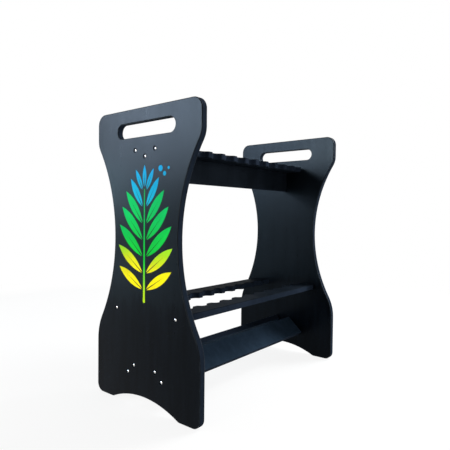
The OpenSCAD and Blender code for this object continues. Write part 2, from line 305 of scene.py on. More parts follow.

# face and cut are the darkest and palest colours of flat faces and of cut edges. The pair after face is
# painted shade: darker colours for a face below a ragged line, whose heights above the floor are given
rolledFinish = {
    "face": ((0.0016, 0.0028, 0.0044, 1), (0.0030, 0.0048, 0.0071, 1)),
    "paintedShadeLow": ((0.0003, 0.0007, 0.0017, 1), (0.0014, 0.0024, 0.0044, 1)),
    "shadeLineFade": (0.272, 0.300),
    "shadeLineRagged": 0.13,
    "shadeLineNoise": (1.0, 3.0, 0.6, (48.0, 48.0, 6.0)),
    "cut": ((0.0094, 0.0140, 0.0225, 1), (0.0150, 0.0214, 0.0345, 1)),
    "roughness": 0.30,
    "specular": 0.056,
    "wear": 0.55,
}
cutFinish = {
    "face": ((0.0042, 0.0062, 0.0090, 1), (0.0070, 0.0100, 0.0144, 1)),
    "cut": rolledFinish["cut"],
    "roughness": 0.60,
    "specular": 0.003,
    "wear": 0.20,
}
spineFinish = {**cutFinish, "face": ((0.0044, 0.0062, 0.0088, 1), (0.0081, 0.0111, 0.0158, 1))}
# the base boards' faces are a paler, bluer copy of the same black plastic, standing for bluish skylight on
# them: painted light
slopeFinishAndPaintedLight = {**cutFinish, "face": ((0.0135, 0.0242, 0.0390, 1), (0.0207, 0.0360, 0.0582, 1))}


def addPaintedShadeLow(tree, vector, finish, unshaded):
    # painted shade: below a ragged line about 0.28 m up, the face is given darker colours than above it
    calc = calculator(tree)
    runs = noise(tree, vector, *finish["shadeLineNoise"])
    ragged = calc("MULTIPLY", calc("SUBTRACT", runs, 0.5), finish["shadeLineRagged"])
    level = calc("ADD", partsOf(tree, vector)["Z"], ragged)
    paintedShadeLow = mixColours(tree, fadeBetween(tree, runs, *boardFinish["cloudFade"]), *finish["paintedShadeLow"])
    return mixColours(tree, fadeBetween(tree, level, *finish["shadeLineFade"]), paintedShadeLow, unshaded)


def makeBoardPlastic(name, across, finish):
    # across is the direction through the board's thickness, along which its cutter marks run
    material, tree, calc, shader, vector = newMaterial(name)
    rim = faceMark(tree, "rim")
    edge = faceMark(tree, "edge")
    normal = tree.nodes.new("ShaderNodeTexCoord").outputs["Normal"]
    run = [boardFinish["markFineness"] * (1 - boardFinish["markStretch"] * abs(part)) for part in across]
    grain = useGroup(tree, sheetGrain, Vector=vector, Grain_Size=boardFinish["grainSize"])
    wear = useGroup(tree, rimWear, Vector=vector, Rim=rim, Amount=finish["wear"])["Mask"]
    scratch = useGroup(tree, scuffs, Vector=vector, Amount=boardFinish["scuffs"])["Mask"]
    marks = useGroup(tree, cutterMarks, Vector=vector, Run=run, Edge=edge)["Height"]
    settled = useGroup(tree, settledDust, Vector=vector, Up=partsOf(tree, normal)["Z"])["Mask"]

    clouded = calc("ADD", calc("MULTIPLY", grain["Cloud"], boardFinish["cloudShare"]),
                   calc("MULTIPLY", grain["Streak"], 1 - boardFinish["cloudShare"]))
    cloud = fadeBetween(tree, clouded, *boardFinish["cloudFade"])
    flat = mixColours(tree, cloud, *finish["face"])
    # the side panels get painted shade: darker colours on their lower part
    if "paintedShadeLow" in finish:
        flat = addPaintedShadeLow(tree, vector, finish, flat)
    body = mixColours(tree, edge, flat, mixColours(tree, cloud, *finish["cut"]))
    pale = calc("MAXIMUM", wear, calc("MULTIPLY", scratch, boardFinish["scuffShare"]))
    rubbed = mixColours(tree, pale, body, boardFinish["worn"])
    dusty = calc("MULTIPLY", settled, boardFinish["dustShare"])
    colour = mixColours(tree, dusty, rubbed, boardFinish["dust"])

    mottle = noise(tree, vector, *boardFinish["mottleNoise"])
    rough = finish["roughness"]
    for pattern, amount in ((calc("SUBTRACT", grain["Streak"], 0.5), boardFinish["streakRoughness"]),
                            (calc("SUBTRACT", mottle, 0.5), boardFinish["mottle"]),
                            (calc("MAXIMUM", edge, rim), boardFinish["rimRoughness"]),
                            (wear, -boardFinish["polish"])):
        rough = calc("ADD", rough, calc("MULTIPLY", pattern, amount))
    feed(tree, shader, Base_Color=colour, Roughness=rough, Specular_IOR_Level=finish["specular"],
         Specular_Tint=boardFinish["paintedReflectionTint"])

    raised = calc("ADD", grain["Height"], calc("MULTIPLY", marks, boardFinish["markDepth"]))
    height = calc("SUBTRACT", raised, calc("MULTIPLY", scratch, boardFinish["scuffDepth"]))
    addBump(tree, shader, height, boardFinish["grainStrength"], boardFinish["grainDepth"])
    return material


ink = {
    "swirlNoise": (16.0, 3.0, 0.6),
    "swirl": 0.075,              # height over which the colours run into each other unevenly
    "deep": (0.0, 0.02, 0.03, 1),
    "deepShare": 0.22,
    "deepFade": (0.30, 0.70),
    "roughness": 0.38,
    "streakRoughness": 0.14,
    "specular": 0.012,
    "grainSize": 0.0011,
    "grainDepth": 0.00006,
    "grainStrength": 0.35,
}


def makeInlayPlastic(name, stops):
    # stops are (height above the floor, colour) pairs that run into each other like brushed ink
    material, tree, calc, shader, vector = newMaterial(name)
    uneven = calc("SUBTRACT", noise(tree, vector, *ink["swirlNoise"]), 0.5)
    height = calc("ADD", partsOf(tree, vector)["Z"], calc("MULTIPLY", uneven, ink["swirl"]))
    low = stops[0][0]
    span = stops[-1][0] - low
    ramp = addNode(tree, "ShaderNodeValToRGB", Fac=calc("DIVIDE", calc("SUBTRACT", height, low), span))
    ramp.color_ramp.interpolation = "EASE"
    while len(ramp.color_ramp.elements) < len(stops):
        ramp.color_ramp.elements.new(0.5)
    for element, (place, colour) in zip(ramp.color_ramp.elements, stops):
        element.position = (place - low) / span
        element.color = (*colour, 1)
    blended = ramp.outputs["Color"]
    grain = useGroup(tree, sheetGrain, Vector=vector, Grain_Size=ink["grainSize"])
    deep = mixColours(tree, ink["deepShare"], blended, ink["deep"])
    shade = fadeBetween(tree, grain["Cloud"], *ink["deepFade"])
    rough = calc("ADD", ink["roughness"], calc("MULTIPLY", grain["Streak"], ink["streakRoughness"]))
    feed(tree, shader, Base_Color=mixColours(tree, shade, deep, blended), Roughness=rough,
         Specular_IOR_Level=ink["specular"])
    addBump(tree, shader, grain["Height"], ink["grainStrength"], ink["grainDepth"])
    return material


steel = {
    "gritNoise": (2600.0, 3.0),
    "cloudNoise": (300.0, 3.0),
    "cloudFade": (0.35, 0.65),
    "steelTone": ((0.50, 0.51, 0.53, 1), (0.68, 0.69, 0.70, 1)),
    # painted shade: the foot of each head, which the counterbore shades, and its cross recess turn this
    # dark colour
    "footShade": (0.045, 0.047, 0.050, 1),
    "footShadeFade": (0.20, 0.65),    # heights up the ball that a head is pressed from, in radii
    "roughness": 0.16,
    "gritRoughness": 0.16,
    "gritDepth": 0.00004,
    "gritStrength": 0.25,
}


def makeScrewSteel():
    # bright stainless steel, spun fine, with painted shade: a dark colour round the foot of the head and in
    # its recess
    material, tree, calc, shader, vector = newMaterial("screwSteel")
    grit = noise(tree, vector, *steel["gritNoise"])
    cloud = fadeBetween(tree, noise(tree, vector, *steel["cloudNoise"]), *steel["cloudFade"])
    # painted shade, dark low on the head and in the recess
    bright = fadeBetween(tree, faceMark(tree, "rise"), *steel["footShadeFade"])
    steelTone = mixColours(tree, cloud, *steel["steelTone"])
    rough = calc("ADD", steel["roughness"], calc("MULTIPLY", grit, steel["gritRoughness"]))
    feed(tree, shader, Base_Color=mixColours(tree, bright, steel["footShade"], steelTone), Metallic=1.0,
         Roughness=rough)
    addBump(tree, shader, grit, steel["gritStrength"], steel["gritDepth"])
    return material


panelPlastic = makeBoardPlastic("panelPlastic", (1, 0, 0), rolledFinish)
panelEdgePlastic = makeBoardPlastic("panelEdgePlastic", (1, 0, 0), cutFinish)
shelfPlastic = makeBoardPlastic("shelfPlastic", (0, 0, 1), cutFinish)
spinePlastic = makeBoardPlastic("spinePlastic", (0, 1, 0), spineFinish)
slopePlasticPaintedLight = makeBoardPlastic("slopePlasticPaintedLight", (0, 0, 1), slopeFinishAndPaintedLight)
screwSteel = makeScrewSteel()
print("materials made")


# Pieces: what every one of them is given at the end

kinds = {
    "flat": 0.995,       # a face whose normal has at least this share across the board is a flat one
    "wall": 0.03,        # and one with at most this share a cut edge
    "fan": math.cos(math.radians(40)),       # faces that meet at less than this angle run together
}


def faceKind(face, across):
    # 3 for a board's flat faces, 2 for its cut edges, 1 for the eased rims between them
    share = abs(face.normal.dot(across))
    if share > kinds["flat"]:
        return 3
    return 2 if share < kinds["wall"] else 1


def smoothCorners(mesh, across):
    # flat faces keep their own normal, and eased rims and curved edges run smoothly into them
    across = Vector(across)
    shape = bmesh.new()
    shape.from_mesh(mesh)
    shape.normal_update()
    kind = {face: faceKind(face, across) for face in shape.faces}
    size = {face: face.calc_area() for face in shape.faces}
    normals = []
    for face in shape.faces:
        for corner in face.loops:
            near = [other for other in corner.vert.link_faces
                    if other.normal.dot(face.normal) > kinds["fan"]]
            best = max((kind[other] for other in near), default=0)
            total = sum((other.normal * size[other] for other in near if kind[other] == best), Vector())
            normals.append((total if total.length > 0 else face.normal).normalized())
    marks = [(kind[face] == 1, kind[face] == 2) for face in shape.faces]
    shape.free()
    for label, column in (("rim", 0), ("edge", 1)):
        mark = mesh.attributes.new(label, "FLOAT", "FACE")
        mark.data.foreach_set("value", [float(pair[column]) for pair in marks])
    mesh.shade_smooth()
    mesh.normals_split_custom_set(normals)


def finishPiece(name, mesh, node, material, edgeMaterial=None):
    # edgeMaterial goes on the faces that smoothCorners marked as cut edges
    mesh.materials.clear()
    mesh.materials.append(material)
    if edgeMaterial:
        mesh.materials.append(edgeMaterial)
        marks = [int(mark.value > 0.5) for mark in mesh.attributes["edge"].data]
        mesh.polygons.foreach_set("material_index", marks)
    piece = addObject(name, mesh)
    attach(piece, "root")
    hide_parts(node)


# Side panels and inlays: rebuilt from the rings where a node's outer face meets its walls

tracing = {
    "touch": 1e-5,           # points nearer than this are one, and a point this near a level is on it
    "faceShare": 0.99,       # how much of the face's normal lies along X, at least
    "wallShare": 0.5,        # and of a wall's, at most
    "behind": 1e-4,          # a wall that ends this near the back goes right through
    "mitre": 0.5,            # limits how far a sharp corner moves when its ring is inset
}


def ringsOfFace(node, level):
    # each ring is its points as (y, z), with the depth of the wall behind it
    shape = bmesh.new()
    shape.from_mesh(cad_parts[node].data)
    bmesh.ops.remove_doubles(shape, verts=shape.verts, dist=tracing["touch"])
    follow = {}
    depth = {}
    for edge in shape.edges:
        if len(edge.link_faces) != 2 or any(abs(v.co.x - level) > tracing["touch"] for v in edge.verts):
            continue
        face, wall = sorted(edge.link_faces, key=lambda f: -abs(f.normal.x))
        if abs(face.normal.x) < tracing["faceShare"] or abs(wall.normal.x) > tracing["wallShare"]:
            continue
        first, second = edge.verts
        follow.setdefault(first, []).append(second)
        follow.setdefault(second, []).append(first)
        depth[first] = max(abs(v.co.x - level) for v in wall.verts)
    rings = []
    while follow:
        start = next(iter(follow))
        chain = [start]
        while follow.get(chain[-1]):
            onward = [v for v in follow.pop(chain[-1]) if v in follow]
            if not onward:
                break
            chain.append(onward[0])
        deepest = max(depth.get(v, 0) for v in chain)
        rings.append(([(v.co.y, v.co.z) for v in chain], deepest))
    shape.free()
    return rings


def signedArea(points):
    return sum(a[0] * b[1] - b[0] * a[1] for a, b in zip(points, points[1:] + points[:1])) / 2


def turned(points, way):
    # way 1 goes round anticlockwise, and -1 clockwise, so that the board is on the left
    return points if signedArea(points) * way > 0 else points[::-1]


def insetRing(points, gap):
    # moves each point into the board, to its left, by gap
    moved = []
    for before, here, after in zip(points[-1:] + points[:-1], points, points[1:] + points[:1]):
        sides = []
        for a, b in ((before, here), (here, after)):
            step = Vector((b[0] - a[0], b[1] - a[1])).normalized()
            sides.append(Vector((-step.y, step.x)))
        meet = (sides[0] + sides[1]) / max(1 + sides[0].dot(sides[1]), tracing["mitre"])
        moved.append((here[0] + meet.x * gap, here[1] + meet.y * gap))
    return moved


def easeSteps(radius, count):
    # (inset, drop) from the flat face round to the cut edge
    if radius == 0:
        return [(0.0, 0.0)]
    turns = [math.pi / 2 * k / count for k in range(count + 1)]
    return [(radius * (1 - math.sin(t)), radius * (1 - math.cos(t))) for t in turns]


def ringVerts(shape, points, x):
    return [shape.verts.new((x, y, z)) for y, z in points]


def bridge(shape, first, second):
    for k in range(len(first)):
        shape.faces.new((first[k - 1], first[k], second[k], second[k - 1]))


def ringEdges(shape, ring):
    return [shape.edges.get((ring[k - 1], ring[k])) for k in range(len(ring))]


def slabFromRings(rings, level, inward, thickness, rules):
    # rings that are as deep as the slab go right through it; the others end in a floor. rules says
    # how far the edge of a ring is eased, and in how many steps
    shape = bmesh.new()
    outline = max(rings, key=lambda ring: abs(signedArea(ring[0])))
    front, back = [], []
    for ring in rings:
        points = turned(ring[0], 1 if ring is outline else -1)
        through = ring[1] > thickness - tracing["behind"]
        radius, count = rules(ring[1], through)
        steps = easeSteps(radius, count)
        walls = [ringVerts(shape, insetRing(points, inset), level + inward * drop) for inset, drop in steps]
        front += [walls[0]]
        if through:
            walls += [ringVerts(shape, insetRing(points, inset), level + inward * (thickness - drop))
                      for inset, drop in reversed(steps)]
            back += [walls[-1]]
        else:
            walls += [ringVerts(shape, points, level + inward * ring[1])]
        for first, second in zip(walls, walls[1:]):
            bridge(shape, first, second)
        if not through:
            shape.faces.new(walls[-1])
    for side in (front, back):
        edges = [edge for ring in side for edge in ringEdges(shape, ring)]
        bmesh.ops.triangle_fill(shape, use_beauty=True, use_dissolve=False, edges=edges, normal=(1, 0, 0))
    bmesh.ops.recalc_face_normals(shape, faces=shape.faces)
    mesh = bpy.data.meshes.new("slab")
    shape.to_mesh(mesh)
    loose = sum(1 for edge in shape.edges if len(edge.link_faces) != 2)
    shape.free()
    if loose:
        print("open edges left:", loose)
    return mesh


sidePanel = {
    "ease": 0.0024,          # round-over of the outline and the hand slot
    "easeSteps": 5,
    "boreEase": 0.0005,      # the counterbores are only broken at their edge
    "boreSteps": 2,
    "boreDepth": 0.002,      # a ring deeper than this is a counterbore, and not an inlay's pocket
}


def panelRules(depth, through):
    if through:
        return sidePanel["ease"], sidePanel["easeSteps"]
    if depth > sidePanel["boreDepth"]:
        return sidePanel["boreEase"], sidePanel["boreSteps"]
    return 0, 1


def makeSidePanel(node):
    low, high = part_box(node)
    inward = 1 if low.x < 0 else -1
    level = low.x if inward > 0 else high.x
    mesh = slabFromRings(ringsOfFace(node, level), level, inward, high.x - low.x, panelRules)
    smoothCorners(mesh, (1, 0, 0))
    finishPiece(node + "_board", mesh, node, panelPlastic, panelEdgePlastic)


for panelNode in ("left_side_panel", "right_side_panel"):
    makeSidePanel(panelNode)
print("side panels made")


inlay = {
    "proud": 0.00012,        # how far the faces stand out of the panel
    "ease": 0.0002,
    "easeSteps": 2,
    "blend": {
        "emblem_yellow_inlays": (
            (0.28, (0.96, 0.76, 0.004)),
            (0.36, (0.96, 0.86, 0.006)),
            (0.44, (0.34, 0.76, 0.02))),
        "emblem_green_inlays": (
            (0.29, (0.50, 0.80, 0.012)),
            (0.40, (0.008, 0.60, 0.04)),
            (0.56, (0.004, 0.52, 0.12))),
        "emblem_blue_inlays": (
            (0.48, (0.006, 0.50, 0.40)),
            (0.56, (0.008, 0.45, 0.68)),
            (0.66, (0.010, 0.37, 0.76))),
    },
}


def inlayRules(depth, through):
    return inlay["ease"], inlay["easeSteps"]


def makeInlays(node):
    low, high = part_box(node)
    thickness = high.x - low.x + inlay["proud"]
    whole = bmesh.new()
    for points, _ in ringsOfFace(node, low.x):
        slab = slabFromRings([(points, thickness)], low.x - inlay["proud"], 1, thickness, inlayRules)
        whole.from_mesh(slab)
        bpy.data.meshes.remove(slab)
    mesh = bpy.data.meshes.new(node)
    whole.to_mesh(mesh)
    whole.free()
    smoothCorners(mesh, (1, 0, 0))
    slot = node.replace("emblem_", "").replace("_inlays", "_inlay")
    finishPiece(node + "_ink", mesh, node, makeInlayPlastic(slot + "Ink", inlay["blend"][node]))


for inlayNode in inlay["blend"]:
    makeInlays(inlayNode)
print("emblem inlays made")


# Boards between the panels: one Geometry Nodes tree, with or without notches and bores

def geometryTree(name, inputs):
    tree = bpy.data.node_groups.new(name, "GeometryNodeTree")
    for label, kind in inputs:
        tree.interface.new_socket(name=label, in_out="INPUT", socket_type=kind)
    tree.interface.new_socket(name="Geometry", in_out="OUTPUT", socket_type="NodeSocketGeometry")
    given = tree.nodes.new("NodeGroupInput").outputs
    return tree, calculator(tree), given, tree.nodes.new("NodeGroupOutput").inputs[0]


def makeBoardTree():
    lengths = ["Length", "Width", "Thickness", "Ease", "Pitch", "Mouth", "Depth", "Lip", "Near Notches",
               "Far Notches", "Bore Pitch", "Bore Width", "Bore Depth"]
    inputs = [("Geometry", "NodeSocketGeometry")] + [(label, "NodeSocketFloat") for label in lengths]
    inputs += [("Notches", "NodeSocketInt"), ("Bores", "NodeSocketInt"), ("Columns", "NodeSocketInt"),
               ("Finish", "NodeSocketMaterial")]
    tree, calc, given, result = geometryTree("easedBoard", inputs)
    around = 4 * boards["cornerPoints"]

    def between(value, least, most):
        return calc("MAXIMUM", calc("MINIMUM", value, most), least)

    def thirdSide(longest, side):
        # of a right-angled triangle, or 0 where there is none
        square = calc("SUBTRACT", calc("POWER", longest, 2), calc("POWER", side, 2))
        return calc("SQRT", calc("MAXIMUM", square, 0))

    def choose(mask, value):
        # the value where the mask is 1, and 0 elsewhere
        return calc("MULTIPLY", mask, value)

    # a grid whose X is the place along the board, and whose Y goes once round its section
    step = calc("DIVIDE", given["Length"], calc("SUBTRACT", given["Columns"], 3))
    span = calc("ADD", given["Length"], calc("MULTIPLY", step, 2))
    grid = addNode(tree, "GeometryNodeMeshGrid", Size_X=span, Size_Y=1.0, Vertices_X=given["Columns"],
                   Vertices_Y=around + 1)
    place = partsOf(tree, tree.nodes.new("GeometryNodeInputPosition").outputs[0])
    half = calc("MULTIPLY", given["Length"], 0.5)
    start = calc("MULTIPLY", half, -1)
    x = between(place["X"], start, half)
    beyond = calc("ADD", half, calc("MULTIPLY", step, 0.5))
    closing = calc("GREATER_THAN", calc("ABSOLUTE", place["X"]), beyond)
    body = calc("SUBTRACT", 1, closing)      # 0 in the end columns, which close the ends

    # the section: four quarter rounds joined by flats; 0.01 keeps whole numbers from rounding down
    count = calc("ROUND", calc("MULTIPLY", calc("ADD", place["Y"], 0.5), around))
    corner = calc("FLOOR", calc("DIVIDE", calc("ADD", count, 0.01), boards["cornerPoints"]))
    inCorner = calc("SUBTRACT", count, calc("MULTIPLY", corner, boards["cornerPoints"]))
    part = calc("DIVIDE", inCorner, boards["cornerPoints"] - 1)
    angle = calc("MULTIPLY", calc("ADD", corner, part), math.pi / 2)
    middle = calc("MULTIPLY", calc("ADD", corner, 0.5), math.pi / 2)
    side = calc("SIGN", calc("COSINE", middle))
    top = calc("SIGN", calc("SINE", middle))
    inset = calc("MULTIPLY", given["Ease"], calc("SUBTRACT", 1, calc("ABSOLUTE", calc("COSINE", angle))))
    rise = calc("SUBTRACT", calc("MULTIPLY", given["Thickness"], 0.5), given["Ease"])
    z = calc("ADD", calc("MULTIPLY", top, rise), calc("MULTIPLY", given["Ease"], calc("SINE", angle)))

    # the notches: an arc cut into the edge, with a rounded lip on both sides of it
    mouthHalf = calc("MULTIPLY", given["Mouth"], 0.5)
    squares = calc("ADD", calc("POWER", mouthHalf, 2), calc("POWER", given["Depth"], 2))
    radius = calc("DIVIDE", squares, calc("MULTIPLY", given["Depth"], 2))
    out = calc("SUBTRACT", radius, given["Depth"])
    reach = calc("ADD", radius, given["Lip"])
    lipX = thirdSide(reach, calc("ADD", out, given["Lip"]))
    tangentX = calc("DIVIDE", calc("MULTIPLY", lipX, radius), reach)
    lastNotch = calc("SUBTRACT", given["Notches"], 1)
    order = calc("ADD", calc("DIVIDE", x, given["Pitch"]), calc("MULTIPLY", lastNotch, 0.5))
    nearest = between(calc("ROUND", order), 0, lastNotch)
    away = calc("MULTIPLY", calc("SUBTRACT", order, nearest), given["Pitch"])
    u = calc("ABSOLUTE", away)
    inArc = calc("LESS_THAN", u, tangentX)
    inLip = calc("SUBTRACT", calc("LESS_THAN", u, lipX), inArc)
    lipU = calc("SUBTRACT", u, lipX)
    arcY = thirdSide(radius, u)
    lipY = thirdSide(given["Lip"], lipU)
    cut = calc("ADD", choose(inArc, calc("SUBTRACT", out, arcY)),
               choose(inLip, calc("SUBTRACT", lipY, given["Lip"])))

    # the way that the edge faces there, along which its eased rim is set back
    slope = calc("ADD", choose(inArc, calc("DIVIDE", calc("MULTIPLY", u, -1), radius)),
                 choose(inLip, calc("DIVIDE", lipU, given["Lip"])))
    plain = calc("SUBTRACT", calc("SUBTRACT", 1, inArc), inLip)
    curved = calc("ADD", choose(inArc, calc("DIVIDE", arcY, radius)),
                  choose(inLip, calc("DIVIDE", lipY, given["Lip"])))
    facing = calc("ADD", plain, curved)
    isFar = calc("GREATER_THAN", side, 0)
    notched = calc("ADD", choose(isFar, given["Far Notches"]),
                   choose(calc("SUBTRACT", 1, isFar), given["Near Notches"]))
    normalX = calc("MULTIPLY", choose(notched, slope), calc("SIGN", away))
    normalY = calc("ADD", 1, choose(notched, calc("SUBTRACT", facing, 1)))
    edgeY = calc("ADD", calc("MULTIPLY", given["Width"], 0.5), choose(notched, cut))
    finalX = between(calc("SUBTRACT", x, calc("MULTIPLY", normalX, inset)), start, half)
    finalY = calc("MULTIPLY", side, calc("SUBTRACT", edgeY, calc("MULTIPLY", normalY, inset)))
    target = combine(tree, X=finalX, Y=choose(body, finalY), Z=choose(body, z))
    shaped = addNode(tree, "GeometryNodeSetPosition", Geometry=grid.outputs["Mesh"], Position=target)
    merged = addNode(tree, "GeometryNodeMergeByDistance", Geometry=shaped.outputs[0],
                     Distance=boards["seam"])
    # the grid is rolled up face in
    closed = addNode(tree, "GeometryNodeFlipFaces", Mesh=merged.outputs[0])

    # screw bores sunk into the top face
    bore = addNode(tree, "GeometryNodeMeshCylinder", Vertices=boards["boreSides"],
                   Radius=calc("MULTIPLY", given["Bore Width"], 0.5),
                   Depth=calc("MULTIPLY", given["Bore Depth"], 2))
    boreSpan = calc("MULTIPLY", calc("SUBTRACT", given["Bores"], 1), given["Bore Pitch"])
    face = calc("MULTIPLY", given["Thickness"], 0.5)
    firstBore = combine(tree, X=calc("MULTIPLY", boreSpan, -0.5), Z=face)
    spots = addNode(tree, "GeometryNodeMeshLine", Count=given["Bores"], Start_Location=firstBore,
                    Offset=combine(tree, X=given["Bore Pitch"]))
    bores = addNode(tree, "GeometryNodeInstanceOnPoints", Points=spots.outputs[0],
                    Instance=bore.outputs["Mesh"])
    cutters = addNode(tree, "GeometryNodeRealizeInstances", Geometry=bores.outputs[0])
    bored = addNode(tree, "GeometryNodeMeshBoolean", {"operation": "DIFFERENCE", "solver": "EXACT"},
                    Mesh_1=closed.outputs[0], Mesh_2=cutters.outputs[0])
    choice = addNode(tree, "GeometryNodeSwitch", {"input_type": "GEOMETRY"})
    wire(tree, calc("GREATER_THAN", given["Bores"], 0.5), choice.inputs["Switch"])
    wire(tree, closed.outputs[0], choice.inputs["False"])
    wire(tree, bored.outputs["Mesh"], choice.inputs["True"])
    whole = addNode(tree, "GeometryNodeSetMaterial", Geometry=choice.outputs[0], Material=given["Finish"])
    wire(tree, whole.outputs[0], result)
    return tree


def growMesh(name, tree, values, seed=None):
    # runs a tree on a seed mesh and gives back the plain mesh that it makes
    host = addObject(name + "Seed", seed or bpy.data.meshes.new(name + "Seed"))
    modifier = host.modifiers.new(name, "NODES")
    modifier.node_group = tree
    for item in tree.interface.items_tree:
        if item.in_out == "INPUT" and item.name in values:
            modifier[item.identifier] = values[item.name]
    bpy.context.view_layer.update()
    ready = host.evaluated_get(bpy.context.evaluated_depsgraph_get())
    mesh = bpy.data.meshes.new_from_object(ready)
    bpy.data.objects.remove(host)
    return mesh


notches = {
    "Notches": 12,
    "Pitch": 0.059,
    "Mouth": 0.038,
    "Depth": 0.015,
    "Lip": 0.007,
}

boards = {
    "ease": 0.0018,
    "columnStep": 0.0009,    # distance between the columns of a notched board's mesh
    "slope": 42.0,           # degrees that the base boards fall outwards
    "slopeWidth": 0.075,
    "thickness": 0.019,
    "cornerPoints": 5,       # points round each eased corner of a board's section
    "seam": 0.00002,         # points of the rolled-up grid nearer than this are joined
    "boreSides": 40,
    "bores": {"Bores": 5, "Bore Pitch": 0.140, "Bore Width": 0.0130, "Bore Depth": 0.0032},
}
boardTree = makeBoardTree()


def makeBoard(node, width, thickness, turn, material, notchSides=(0, 0), bores=None):
    # turn is the board's angle about X; notchSides says if the -Y and +Y edges are notched. The mesh
    # has a column at each end of every step, and one more past each end of the board to close it
    low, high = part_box(node)
    length = high.x - low.x
    steps = round(length / boards["columnStep"]) if any(notchSides) else 2
    values = {"Length": length, "Width": width, "Thickness": thickness, "Ease": boards["ease"],
              "Columns": steps + 3, "Near Notches": float(notchSides[0]),
              "Far Notches": float(notchSides[1]), "Finish": material, **notches, **(bores or {})}
    mesh = growMesh(node, boardTree, values)
    lean = Matrix.Rotation(math.radians(turn), 4, "X")
    mesh.transform(Matrix.Translation((low + high) / 2) @ lean)
    smoothCorners(mesh, lean @ Vector((0, 0, 1)))
    finishPiece(node + "_board", mesh, node, material)


def makeBoards():
    def boxSize(node):
        low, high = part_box(node)
        return high - low
    shelf = boxSize("notched_top_shelf")
    spine = boxSize("centre_spine")
    rail = boxSize("front_mid_rail")
    makeBoard("notched_top_shelf", shelf.y, shelf.z, 0, shelfPlastic, (1, 1), boards["bores"])
    makeBoard("centre_spine", spine.z, spine.y, 90, spinePlastic)
    makeBoard("front_mid_rail", rail.y, rail.z, 0, shelfPlastic, (0, 1))
    makeBoard("rear_mid_rail", rail.y, rail.z, 0, shelfPlastic, (1, 0))
    makeBoard("front_base_board", boards["slopeWidth"], boards["thickness"], boards["slope"], slopePlasticPaintedLight)
    makeBoard("rear_base_board", boards["slopeWidth"], boards["thickness"], -boards["slope"], slopePlasticPaintedLight)


makeBoards()
print("boards between the panels made")


# Screws: one tree makes a pan-head screw with a cross recess and sets it on each seat

screw = {
    "Head Width": 0.0086,
    "Head Height": 0.0028,
    "Recess Length": 0.0050,
    "Recess Width": 0.0011,
    "Recess Depth": 0.0014,
    "Shank Width": 0.0048,
    "Point Length": 0.0060,
    "Let In": 0.0004,            # how far the shank and the point each run into the part above
    "Seed": 5,
}

screwMesh = {
    "headSides": 28,
    "headRings": 18,
    "domePower": 0.75,           # below 1, the dome is fuller than a ball
    "shankSides": 20,
    "pointTop": 0.97,            # widths of the point, as shares of the shank's
    "pointTip": 0.15,
    "sharpAngle": 35,            # degrees
}


